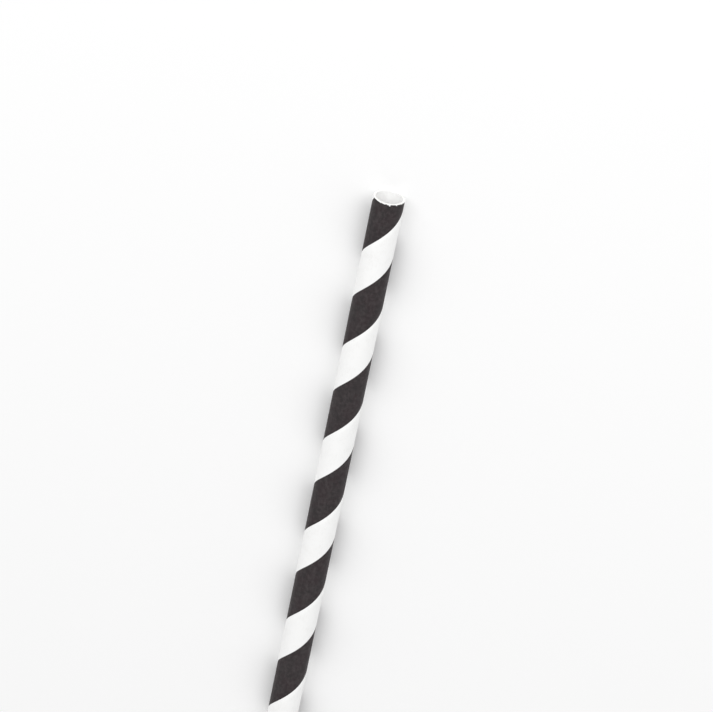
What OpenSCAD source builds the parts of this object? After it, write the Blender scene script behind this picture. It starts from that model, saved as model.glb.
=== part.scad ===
// Spiral-wound paper drinking straw, lying on its side along X.
// The printed outer ply is one strip, wound edge to edge up the tube, so each turn
// of the strip carries one black and one white band.

/* [Tube] */
// Length between the two cut ends
straw_length = 197; // [120:1:260]
// Outside diameter
outer_d = 6; // [5:0.1:12]
// Thickness of the whole paper wall
wall_t = 0.4; // [0.3:0.02:0.8]

/* [Cut ends] */
// Bevel that the cutter leaves on the inner and outer edges of both ends
edge_break = 0.05; // [0.02:0.01:0.1]
// Bare paper at each end, where the cutter chips the ink away
bare_edge = 0.15; // [0.15:0.05:1]

/* [Printed band] */
// How deep the black ink soaks into the paper
ink_depth = 0.06; // [0.05:0.01:0.1]
// Height of the black band, measured along the straw
black_band_h = 10.94; // [6:0.02:16]
// Height of the white band, measured along the straw
white_band_h = 9.88; // [6:0.02:16]
// Where the black band's lower edge meets the front end, in degrees round from the underside
band_turn = 306; // [0:1:359]

/* [Hidden] */

outer_r = outer_d / 2;
bore_r = outer_r - wall_t;
ink_r = outer_r - ink_depth;
pitch = black_band_h + white_band_h;

// The black field bites this far into the white one, so that both fuse into one wall
field_bite = 0.02;
// Ribbons reach this far outside the wall and have this many steps a turn
ribbon_reach = 0.5;
steps_per_turn = 24;

paper_white = [0.97, 0.97, 0.96];
ink_black = [0.22, 0.2, 0.2];

// The plain paper tube, upright, with its edges broken at both ends
module paper_wall() {
    section = [
        [bore_r, edge_break],
        [bore_r + edge_break, 0],
        [outer_r - edge_break, 0],
        [outer_r, edge_break],
        [outer_r, straw_length - edge_break],
        [outer_r - edge_break, straw_length],
        [bore_r + edge_break, straw_length],
        [bore_r, straw_length - edge_break]
    ];
    rotate_extrude($fn = 96) polygon(section);
}

// Right-handed helical ribbon that starts at the front end and runs down past the
// other. It reaches from the radius floor_r out through the wall, and its edges keep
// the heights low and high above the black band's lower edge.
module ribbon(floor_r, low, high) {
    first = floor(-steps_per_turn * (straw_length + high) / pitch) - 1;
    last = ceil(-steps_per_turn * low / pitch) + 1;
    rings = last - first + 1;
    corners = [
        [floor_r, low],
        [outer_r + ribbon_reach, low],
        [outer_r + ribbon_reach, high],
        [floor_r, high]
    ];
    points = [
        for (step = [first:last], corner = corners)
        let (
            turn = 360 * step / steps_per_turn,
            height = straw_length + pitch * step / steps_per_turn
        )
        [corner.x * cos(turn), corner.x * sin(turn), height + corner.y]
    ];
    walls = [
        for (ring = [0:rings - 2], side = [0:3])
        let (
            a = 4 * ring + side,
            b = 4 * ring + (side + 1) % 4
        )
        each [[a, b, b + 4], [a, b + 4, a + 4]]
    ];
    top = 4 * (rings - 1);
    caps = [[0, 3, 2], [0, 2, 1], [top, top + 1, top + 2], [top, top + 2, top + 3]];
    polyhedron(points, concat(walls, caps));
}

// The inked paper of the black band, made larger all round by the given bite
module black_band(bite = 0) {
    bare = bare_edge - bite;
    intersection() {
        rotate(band_turn) ribbon(ink_r - bite, -bite, black_band_h + bite);
        translate([0, 0, bare]) cylinder(h = straw_length - 2 * bare, r = outer_d, $fn = 96);
    }
}

module lay_on_side() {
    translate([-straw_length / 2, 0, outer_r]) rotate([0, 90, 0]) children();
}

// One paper wall in two colours: white paper, and the black band printed on it
module straw() {
    lay_on_side() {
        color(paper_white) difference() {
            paper_wall();
            black_band();
        }
        color(ink_black) intersection() {
            paper_wall();
            black_band(field_bite);
        }
    }
}

straw();
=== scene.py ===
# Striped paper drinking straw, lying on a pale floor and seen from above its front end
import math
import bmesh
import bpy
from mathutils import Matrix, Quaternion, Vector


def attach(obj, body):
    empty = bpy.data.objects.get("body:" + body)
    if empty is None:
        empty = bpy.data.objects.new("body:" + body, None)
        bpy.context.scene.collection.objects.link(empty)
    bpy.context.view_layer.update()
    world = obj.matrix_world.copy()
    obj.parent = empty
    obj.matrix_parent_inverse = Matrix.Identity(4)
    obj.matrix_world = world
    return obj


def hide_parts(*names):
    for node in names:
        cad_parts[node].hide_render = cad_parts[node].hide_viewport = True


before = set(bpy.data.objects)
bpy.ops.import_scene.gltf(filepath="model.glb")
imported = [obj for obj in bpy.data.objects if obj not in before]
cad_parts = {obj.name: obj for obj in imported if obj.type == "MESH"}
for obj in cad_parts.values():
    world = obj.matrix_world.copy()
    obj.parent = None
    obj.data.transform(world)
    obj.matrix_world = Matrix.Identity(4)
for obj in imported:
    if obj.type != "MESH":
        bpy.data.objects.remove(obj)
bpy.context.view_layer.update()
mm = 0.001


# Selecting

def deselectAll():
    bpy.ops.object.select_all(action="DESELECT")


def pickVerts(piece, test):  # vertices whose place passes the test
    bpy.ops.mesh.select_mode(type="VERT")
    net = bmesh.from_edit_mesh(piece.data)
    for vert in net.verts:
        vert.select = test(vert.co)
    net.select_flush_mode()
    bmesh.update_edit_mesh(piece.data)


def pickOpenEdges(piece, test):  # adds the open edges whose two ends pass the test
    net = bmesh.from_edit_mesh(piece.data)
    for edge in net.edges:
        if edge.is_boundary and all(test(vert.co) for vert in edge.verts):
            edge.select_set(True)
    bmesh.update_edit_mesh(piece.data)


def pickFaces(piece, test):  # faces whose middle passes the test
    bpy.ops.mesh.select_mode(type="FACE")
    net = bmesh.from_edit_mesh(piece.data)
    for face in net.faces:
        face.select = test(face.calc_center_median())
    net.select_flush_mode()
    bmesh.update_edit_mesh(piece.data)


# The straw: two wound skins, cut square, with a fibrous rim at each end

straw = {  # in millimetres
    "length": 197.0,
    "outerR": 3.0,
    "boreR": 2.6,
    "axisZ": 3.0,
    "plies": 3,
    "pitch": 20.82,  # one turn of the printed strip
    "blackBand": 10.94,
    "bandTurn": 306.0,  # degrees round, where the black band's lower edge meets the front end
    "seamDepth": 0.05,  # the strip's edges meet in a fine open seam
    "seamHalf": 0.08,
    "seamBend": (0.45, 0.35),  # its sides bend at these shares of seamHalf and seamDepth
    "innerSeamShift": 0.37,  # the inner ply's seam, in turns of the strip
    "steps": 96,
    "turns": 12,
    "strips": 14,
    "weld": 0.002,  # vertices closer than this become one
    "cutInset": 0.06,  # the cut edge is rounded over this far
    "edgeLoop": 0.12,  # a ring of edges here keeps the rounding's shading off the wall
    "rimRoom": 0.02,  # the rim stays this far inside the straw's full length
    "rimOuter": ((-0.014, 0.6), (-0.05, 0.93), (-0.075, 1.0)),  # from outerR, share of the way out
    "rimGlue": ((0.02, 1.0), (0.0, 0.78), (-0.02, 1.0)),  # a shallow line between two plies
    "rimInner": ((0.07, 1.0), (0.045, 0.93), (0.012, 0.6)),  # from boreR
    "fuzz": 0.004,  # how uneven the knife leaves the rim
    "fuzzFrom": 0.04,  # the uneven part, in from the end
    "smoothAngle": 40.0,
}
cutX = (straw["length"] / 2 - straw["cutInset"]) * mm
midWall = (straw["outerR"] + straw["boreR"]) / 2 * mm
plyThick = (straw["outerR"] - straw["boreR"]) / straw["plies"]


def radiusOf(spot):
    return math.hypot(spot.y, spot.z - straw["axisZ"] * mm)


def drawWoundLine(startX, radius, inward):  # one turn's width of strip, along the top of the tube
    deep = straw["seamDepth"] * (1 if inward else -1)
    half, pitch, count = straw["seamHalf"], straw["pitch"], straw["strips"]
    bendX, bendDeep = straw["seamBend"]
    flat = pitch - 2 * half
    line = [(0, -deep), (bendX * half, -bendDeep * deep), (half, 0)]
    line += [(half + flat * step / count, 0) for step in range(1, count)]
    line += [(pitch - half, 0), (pitch - bendX * half, -bendDeep * deep), (pitch, -deep)]
    bpy.ops.mesh.primitive_plane_add(size=mm, location=(0, 0, straw["axisZ"] * mm))
    bpy.ops.mesh.merge(type="CENTER")
    first = ((startX + line[0][0]) * mm, 0, (radius + line[0][1]) * mm)
    bpy.ops.transform.translate(value=first)
    for here, there in zip(line, line[1:]):
        step = ((there[0] - here[0]) * mm, 0, (there[1] - here[1]) * mm)
        bpy.ops.mesh.extrude_vertices_move(TRANSFORM_OT_translate={"value": step})


def drawRim(piece, side):  # carries the outer skin over the cut edge and in to the bore
    cut = straw["length"] / 2 - straw["cutInset"]
    end = straw["length"] / 2 - straw["rimRoom"]
    outer, inner = straw["outerR"], straw["boreR"]
    profile = [(outer + off, share) for off, share in straw["rimOuter"]]
    for ply in range(1, straw["plies"]):
        glued = outer - ply * plyThick
        profile += [(glued + off, share) for off, share in straw["rimGlue"]]
    profile += [(inner + off, share) for off, share in straw["rimInner"]]

    bpy.ops.mesh.select_mode(type="EDGE")
    bpy.ops.mesh.select_all(action="DESELECT")
    pickOpenEdges(piece, lambda co: co.x * side > 0 and radiusOf(co) > midWall)
    middle = (0, 0, straw["axisZ"] * mm)
    lastX, lastR = cut, outer
    for radius, share in profile:
        atX = cut + (end - cut) * share
        step = (side * (atX - lastX) * mm, 0, 0)
        bpy.ops.mesh.extrude_region_move(TRANSFORM_OT_translate={"value": step})
        squeeze = radius / lastR
        bpy.ops.transform.resize(value=(1, squeeze, squeeze), center_override=middle)
        lastX, lastR = atX, radius
    pickOpenEdges(piece, lambda co: co.x * side > 0 and radiusOf(co) < midWall)
    bpy.ops.mesh.bridge_edge_loops()


def weldAll():
    bpy.ops.mesh.select_all(action="SELECT")
    bpy.ops.mesh.remove_doubles(threshold=straw["weld"] * mm)


def makeStraw():
    deselectAll()
    bpy.ops.mesh.primitive_plane_add(size=mm, location=(0, 0, straw["axisZ"] * mm))
    piece = bpy.context.object
    piece.name = piece.data.name = "paperStraw"
    bpy.ops.object.mode_set(mode="EDIT")
    bpy.ops.mesh.delete(type="VERT")
    bpy.ops.mesh.select_mode(type="VERT")

    # the seam runs through the front end at bandTurn, so on top it lies this far along
    seamX = straw["length"] / 2 + straw["pitch"] * (180 - straw["bandTurn"]) / 360
    startX = seamX - (straw["turns"] - 1) * straw["pitch"]
    drawWoundLine(startX, straw["outerR"], True)
    drawWoundLine(startX + straw["innerSeamShift"] * straw["pitch"], straw["boreR"], False)
    bpy.ops.object.mode_set(mode="OBJECT")

    wind = piece.modifiers.new("wind", "SCREW")
    wind.axis = "X"
    wind.angle = 2 * math.pi
    wind.screw_offset = straw["pitch"] * mm
    wind.iterations = straw["turns"]
    wind.steps = wind.render_steps = straw["steps"]
    bpy.ops.object.modifier_apply(modifier="wind")
    bpy.ops.object.transform_apply(location=True)

    # both skins are cut off square; the usual threshold would leave the cut ragged
    bpy.ops.object.mode_set(mode="EDIT")
    weldAll()
    ringX = cutX - straw["edgeLoop"] * mm
    for side in (1, -1):
        for place, clear in ((cutX, True), (ringX, False)):
            bpy.ops.mesh.select_all(action="SELECT")
            bpy.ops.mesh.bisect(
                plane_co=(side * place, 0, 0), plane_no=(side, 0, 0),
                clear_outer=clear, threshold=1e-8)
    weldAll()

    # the inner skin faces the bore, so that the rims join both skins the right way round
    bpy.ops.mesh.normals_make_consistent(inside=False)
    pickFaces(piece, lambda co: radiusOf(co) < midWall)
    bpy.ops.mesh.flip_normals()
    for side in (1, -1):
        drawRim(piece, side)

    # the knife leaves the rim a little uneven
    rimX = (straw["length"] / 2 - straw["fuzzFrom"]) * mm
    pickVerts(piece, lambda co: abs(co.x) > rimX)
    bpy.ops.transform.vertex_random(offset=straw["fuzz"] * mm, uniform=1.0, normal=0.0, seed=4)
    bpy.ops.mesh.select_all(action="SELECT")
    bpy.ops.mesh.normals_make_consistent(inside=False)
    bpy.ops.object.mode_set(mode="OBJECT")
    bpy.ops.object.shade_smooth_by_angle(angle=math.radians(straw["smoothAngle"]))
    return piece


paperStraw = makeStraw()
print("straw wound:", len(paperStraw.data.polygons), "faces")


# Shader nodes

def addNode(tree, kind, **sets):
    node = tree.nodes.new(kind)
    for key, value in sets.items():
        if key in node.bl_rna.properties:
            setattr(node, key, value)
        else:
            node.inputs[key.replace("_", " ")].default_value = value
    return node


def addMath(tree, operation, *terms):  # terms are numbers or sockets
    node = addNode(tree, "ShaderNodeMath", operation=operation)
    for slot, term in zip(node.inputs, terms):
        if isinstance(term, (int, float)):
            slot.default_value = term
        else:
            tree.links.new(term, slot)
    return node.outputs[0]


def addBlend(tree, *parts):  # sum of values, each times its share
    total = None
    for value, share in parts:
        part = addMath(tree, "MULTIPLY", value, share)
        total = part if total is None else addMath(tree, "ADD", total, part)
    return total


def addSwing(tree, noise, reach):  # noise turned into a distance to either side of nothing
    return addMath(tree, "MULTIPLY", addMath(tree, "SUBTRACT", noise, 0.5), reach)


def addRamp(tree, value, between, to=(0.0, 1.0)):  # smooth step between two values
    node = addNode(
        tree, "ShaderNodeMapRange", interpolation_type="SMOOTHSTEP",
        From_Min=between[0], From_Max=between[1], To_Min=to[0], To_Max=to[1])
    tree.links.new(value, node.inputs["Value"])
    return node.outputs["Result"]


def addMix(tree, share, first, second):  # colours, or sockets that carry colours
    node = addNode(tree, "ShaderNodeMix", data_type="RGBA")
    tree.links.new(share, node.inputs["Factor"])
    for slot, value in ((node.inputs[6], first), (node.inputs[7], second)):
        if isinstance(value, tuple):
            slot.default_value = (*value, 1)
        else:
            tree.links.new(value, slot)
    return node.outputs[2]


def addNoise(tree, place, scale, detail, stretch=None):
    if stretch:
        turn = addNode(tree, "ShaderNodeMapping", Scale=stretch)
        tree.links.new(place, turn.inputs["Vector"])
        place = turn.outputs["Vector"]
    node = addNode(tree, "ShaderNodeTexNoise", Scale=scale, Detail=detail)
    tree.links.new(place, node.inputs["Vector"])
    return node.outputs["Fac"]


def makeGroup(name, outputs):  # takes the piece's own coordinates, in metres
    tree = bpy.data.node_groups.new(name, "ShaderNodeTree")
    tree.interface.new_socket("Place", in_out="INPUT", socket_type="NodeSocketVector")
    for label in outputs:
        tree.interface.new_socket(label, in_out="OUTPUT", socket_type="NodeSocketFloat")
    place = tree.nodes.new("NodeGroupInput").outputs["Place"]
    return tree, place, tree.nodes.new("NodeGroupOutput")


def inMillimetres(tree, place):  # measured from the middle of the tube
    node = addNode(
        tree, "ShaderNodeMapping", Scale=(1000, 1000, 1000), Location=(0, 0, -straw["axisZ"]))
    tree.links.new(place, node.inputs["Vector"])
    return node.outputs["Vector"]


# Where a point lies on the wound strip
def makeWinding():
    tree, place, out = makeGroup("windingPlace", ("Height", "Radius", "FromCut"))
    split = tree.nodes.new("ShaderNodeSeparateXYZ")
    tree.links.new(inMillimetres(tree, place), split.inputs[0])
    x, y, z = split.outputs

    # height above the black band's lower edge, along the straw
    turn = addMath(tree, "ARCTAN2", y, addMath(tree, "MULTIPLY", z, -1.0))
    rise = addMath(tree, "MULTIPLY", turn, straw["pitch"] / (2 * math.pi))
    start = straw["length"] / 2 - straw["pitch"] * straw["bandTurn"] / 360
    above = addMath(tree, "SUBTRACT", addMath(tree, "SUBTRACT", x, start), rise)
    tree.links.new(addMath(tree, "WRAP", above, straw["pitch"], 0.0), out.inputs["Height"])

    # radius, and distance to the nearer end
    square = addMath(tree, "ADD", addMath(tree, "MULTIPLY", y, y), addMath(tree, "MULTIPLY", z, z))
    tree.links.new(addMath(tree, "SQRT", square), out.inputs["Radius"])
    away = addMath(tree, "SUBTRACT", straw["length"] / 2, addMath(tree, "ABSOLUTE", x))
    tree.links.new(away, out.inputs["FromCut"])
    return tree


# Paper: cloudy formation and a mat of fine fibres
def makeFibres():
    tree, place, out = makeGroup("paperFibres", ("Cloud", "Fibre", "Relief"))
    here = inMillimetres(tree, place)
    cloud = addNoise(tree, here, 0.55, detail=4.0)
    along = addNoise(tree, here, 3.2, detail=3.0, stretch=(0.35, 1.4, 1.4))
    across = addNoise(tree, here, 4.4, detail=3.0, stretch=(1.5, 0.6, 0.6))
    fibre = addMath(tree, "MULTIPLY", addMath(tree, "ADD", along, across), 0.5)
    fine = addNoise(tree, here, 11.0, detail=2.0)
    relief = addBlend(tree, (fibre, 0.7), (fine, 0.3))
    for label, value in (("Cloud", cloud), ("Fibre", fibre), ("Relief", relief)):
        tree.links.new(value, out.inputs[label])
    return tree


windingPlace = makeWinding()
paperFibres = makeFibres()


def startMaterial(name, specular):  # a Principled shader, and what the two groups put out
    material = bpy.data.materials.new(name)
    material.use_nodes = True
    tree = material.node_tree
    shader = tree.nodes["Principled BSDF"]
    shader.inputs["Specular IOR Level"].default_value = specular
    place = tree.nodes.new("ShaderNodeTexCoord").outputs["Object"]
    values = {"Place": place}
    for source in (windingPlace, paperFibres):
        node = addNode(tree, "ShaderNodeGroup", node_tree=source)
        tree.links.new(place, node.inputs["Place"])
        values.update({socket.name: socket for socket in node.outputs})
    return material, tree, shader, values


def addRelief(tree, shader, height, relief):  # strength, and depth in millimetres
    strength, depth = relief
    bump = addNode(tree, "ShaderNodeBump", Strength=strength, Distance=depth * mm)
    tree.links.new(height, bump.inputs["Height"])
    tree.links.new(bump.outputs["Normal"], shader.inputs["Normal"])


# Printed outside: white paper with the black band laid over it

printing = {
    "specular": 0.05,
    "paper": (0.935, 0.935, 0.93),
    "paperShade": (0.875, 0.873, 0.864),
    "paperRough": (0.66, 0.80),
    "inkCool": (0.0355, 0.0315, 0.0325),
    "inkWarm": (0.0385, 0.0305, 0.0325),
    # lighter ink where it lies thin over fibres, also the colour of the painted sheen lines along
    # the straw
    "inkThinAndSheen": (0.0630, 0.0545, 0.0560),
    "inkRough": (0.40, 0.54),
    "inkSoft": 0.03,  # how soft the band's edges are
    "inkWander": 0.07,  # how far they wander
    "inkFill": 0.08,  # how much the ink fills the paper's relief
    "bareEdge": 0.09,  # ink is chipped away this far from the cut
    "bareSoft": 0.04,
    "chipReach": -1.7,  # how far the chips reach to either side of that
    "relief": (0.5, 0.04),
}
noiseSpan = (0.3, 0.7)  # most of a noise's values lie between these


def makePrintedPaper():
    material, tree, shader, values = startMaterial("printedPaper", printing["specular"])
    here = inMillimetres(tree, values["Place"])
    cloud, fibre = values["Cloud"], values["Fibre"]

    # the band: how far a point lies from the band's middle, against half its height
    half, pitch = straw["blackBand"] / 2, straw["pitch"]
    height = addMath(tree, "SUBTRACT", values["Height"], half)
    middle = addMath(tree, "WRAP", height, pitch / 2, -pitch / 2)
    ragged = addNoise(tree, here, 5.0, detail=4.0)
    wander = addSwing(tree, ragged, printing["inkWander"])
    far = addMath(tree, "ADD", addMath(tree, "ABSOLUTE", middle), wander)
    soft = printing["inkSoft"]
    band = addRamp(tree, far, (half - soft, half + soft), (1.0, 0.0))

    # bare fibres where the knife went through
    chip = addNoise(tree, here, 1.7, detail=5.0)
    torn = addMath(tree, "ADD", values["FromCut"], addSwing(tree, chip, printing["chipReach"]))
    bare, soft = printing["bareEdge"], printing["bareSoft"]
    kept = addRamp(tree, torn, (bare - soft, bare + soft))
    inked = addMath(tree, "MULTIPLY", band, kept)

    # ink is mottled and thin over raised fibres, with faint lighter lines along the straw that are
    # painted sheen; the same lines also vary the ink's roughness
    rubbedAndSheenLines = addNoise(tree, here, 0.8, detail=2.0, stretch=(0.08, 1.0, 1.0))
    mottle = addNoise(tree, here, 1.3, detail=4.0)
    wornAndSheen = addBlend(tree, (mottle, 0.45), (fibre, 0.40), (rubbedAndSheenLines, 0.15))
    warm = addRamp(tree, cloud, (0.40, 0.60))
    tint = addMix(tree, warm, printing["inkCool"], printing["inkWarm"])
    inkColour = addMix(tree, addRamp(tree, wornAndSheen, (0.40, 0.68)), tint, printing["inkThinAndSheen"])
    shade = addRamp(tree, addBlend(tree, (cloud, 0.4), (fibre, 0.6)), (0.45, 0.70))
    paperColour = addMix(tree, shade, printing["paper"], printing["paperShade"])
    tree.links.new(addMix(tree, inked, paperColour, inkColour), shader.inputs["Base Color"])

    paperRough = addRamp(tree, fibre, noiseSpan, printing["paperRough"])
    inkRough = addRamp(tree, rubbedAndSheenLines, noiseSpan, printing["inkRough"])
    drop = addMath(tree, "MULTIPLY", inked, addMath(tree, "SUBTRACT", inkRough, paperRough))
    tree.links.new(addMath(tree, "ADD", paperRough, drop), shader.inputs["Roughness"])
    filled = addMath(tree, "MULTIPLY", inked, printing["inkFill"])
    addRelief(tree, shader, addMath(tree, "ADD", values["Relief"], filled), printing["relief"])
    return material


# Bare paper inside the bore and on the cut ends

barePaper = {
    "insideSpecular": 0.25,
    # the bore's paper is painted lighter than the outside paper, to make up for the shade inside
    # the bore
    "inside": (0.965, 0.963, 0.957),
    "insideShade": (0.935, 0.931, 0.921),
    "insideRough": (0.72, 0.88),
    "insideRelief": (0.45, 0.04),
    "cutSpecular": 0.2,
    "cut": (0.90, 0.898, 0.888),
    "cutShade": (0.78, 0.768, 0.745),
    "cutRough": (0.80, 0.95),
    "cutRelief": (0.6, 0.05),
    "glueLine": (0.62, 0.60, 0.57),
    "glueHalf": (0.004, 0.022),  # the line fades between these distances from a glued face
    "glueShow": 0.55,
    "glueWave": 0.05,
    "glueReach": (0.03, 0.05),  # it ends between these distances from the straw's end
}


def makeInsidePaper():
    material, tree, shader, values = startMaterial("insidePaperLightened", barePaper["insideSpecular"])
    # both tones are painted lighter than the outside paper, a painted lightening against the
    # bore's shade
    shade = addRamp(tree, values["Cloud"], (0.42, 0.70))
    colour = addMix(tree, shade, barePaper["inside"], barePaper["insideShade"])
    tree.links.new(colour, shader.inputs["Base Color"])
    rough = addRamp(tree, values["Fibre"], noiseSpan, barePaper["insideRough"])
    tree.links.new(rough, shader.inputs["Roughness"])
    addRelief(tree, shader, values["Relief"], barePaper["insideRelief"])
    return material


def makeCutPaper():
    material, tree, shader, values = startMaterial("cutPaper", barePaper["cutSpecular"])
    fibre = values["Fibre"]
    shade = addRamp(tree, fibre, (0.44, 0.70))
    colour = addMix(tree, shade, barePaper["cut"], barePaper["cutShade"])

    # a thin glue line between the plies
    deep = addMath(tree, "SUBTRACT", values["Radius"], straw["boreR"] + plyThick)
    fromPly = addMath(tree, "PINGPONG", deep, plyThick)
    wavy = addMath(tree, "ADD", fromPly, addSwing(tree, fibre, barePaper["glueWave"]))
    glue = addRamp(tree, wavy, barePaper["glueHalf"], (barePaper["glueShow"], 0.0))
    face = addRamp(tree, values["FromCut"], barePaper["glueReach"], (1.0, 0.0))
    line = addMath(tree, "MULTIPLY", glue, face)
    tree.links.new(addMix(tree, line, colour, barePaper["glueLine"]), shader.inputs["Base Color"])
    rough = addRamp(tree, fibre, noiseSpan, barePaper["cutRough"])
    tree.links.new(rough, shader.inputs["Roughness"])
    addRelief(tree, shader, values["Relief"], barePaper["cutRelief"])
    return material


def dressStraw(piece):
    for material in (makePrintedPaper(), makeInsidePaper(), makeCutPaper()):
        piece.data.materials.append(material)
    deselectAll()
    piece.select_set(True)
    bpy.context.view_layer.objects.active = piece
    bpy.ops.object.mode_set(mode="EDIT")
    for index, test in (
        (1, lambda co: radiusOf(co) < midWall and abs(co.x) < cutX),
        (2, lambda co: abs(co.x) > cutX),
    ):
        pickFaces(piece, test)
        piece.active_material_index = index
        bpy.ops.object.material_slot_assign()
    bpy.ops.mesh.select_mode(type="VERT")
    bpy.ops.object.mode_set(mode="OBJECT")


dressStraw(paperStraw)
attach(paperStraw, "root")
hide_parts("straw")
print("paper and print done")


# Floor, light and camera

studio = {
    "floorSize": 6.0,
    "floorColour": (0.95, 0.95, 0.95),
    "floorRough": 0.9,
    "skyLight": 0.63,
    "panelAim": (0.05, 0.0, 0.0),
    "panelSize": (0.9, 0.9),
    "panels": (  # place and power, one to each side of the front end
        ((0.92, 0.55, 0.86), 6.7),
        ((0.92, -0.55, 0.86), 5.6),
    ),
}


def makeFloor():
    deselectAll()
    bpy.ops.mesh.primitive_plane_add(size=studio["floorSize"])
    floor = bpy.context.object
    floor.name = "floor"
    material = bpy.data.materials.new("floorPaper")
    material.use_nodes = True
    shader = material.node_tree.nodes["Principled BSDF"]
    shader.inputs["Base Color"].default_value = (*studio["floorColour"], 1)
    shader.inputs["Roughness"].default_value = studio["floorRough"]
    shader.inputs["Specular IOR Level"].default_value = 0.0
    floor.data.materials.append(material)


def makeSky():  # white where it is seen, dimmer where it lights
    world = bpy.data.worlds.new("softRoom")
    bpy.context.scene.world = world
    world.use_nodes = True
    tree = world.node_tree
    back = tree.nodes["Background"]
    back.inputs["Color"].default_value = (1, 1, 1, 1)
    path = tree.nodes.new("ShaderNodeLightPath").outputs
    seen = addMath(tree, "MAXIMUM", path["Is Camera Ray"], path["Is Transmission Ray"])
    seen = addMath(tree, "MAXIMUM", seen, path["Is Glossy Ray"])
    sky = studio["skyLight"]
    strength = addMath(tree, "ADD", addMath(tree, "MULTIPLY", seen, 1.0 - sky), sky)
    tree.links.new(strength, back.inputs["Strength"])


def makePanels():
    for spot, power in studio["panels"]:
        turn = (Vector(studio["panelAim"]) - Vector(spot)).to_track_quat("-Z", "Y")
        bpy.ops.object.light_add(type="AREA", location=spot, rotation=turn.to_euler())
        lamp = bpy.context.object.data
        lamp.shape = "RECTANGLE"
        lamp.size, lamp.size_y = studio["panelSize"]
        lamp.energy = power


view = {
    "spot": (0.4657, 0.0, 0.7288),
    "aim": (0.0640, 0.0, 0.0030),
    "roll": -168.3,  # the front end at the top, leaning to the right
    "lens": 220.65,
    "sensor": 36.0,
}


def makeCamera():
    spot, aim = Vector(view["spot"]), Vector(view["aim"])
    roll = Quaternion((0, 0, 1), math.radians(view["roll"]))
    turn = (aim - spot).to_track_quat("-Z", "Y") @ roll
    bpy.ops.object.camera_add(location=spot, rotation=turn.to_euler())
    camera = bpy.context.object
    camera.data.sensor_width = view["sensor"]
    camera.data.lens = view["lens"]
    bpy.context.scene.camera = camera


makeFloor()
makeSky()
makePanels()
makeCamera()
bpy.context.scene.view_settings.view_transform = "Standard"
print("floor, light and camera set")
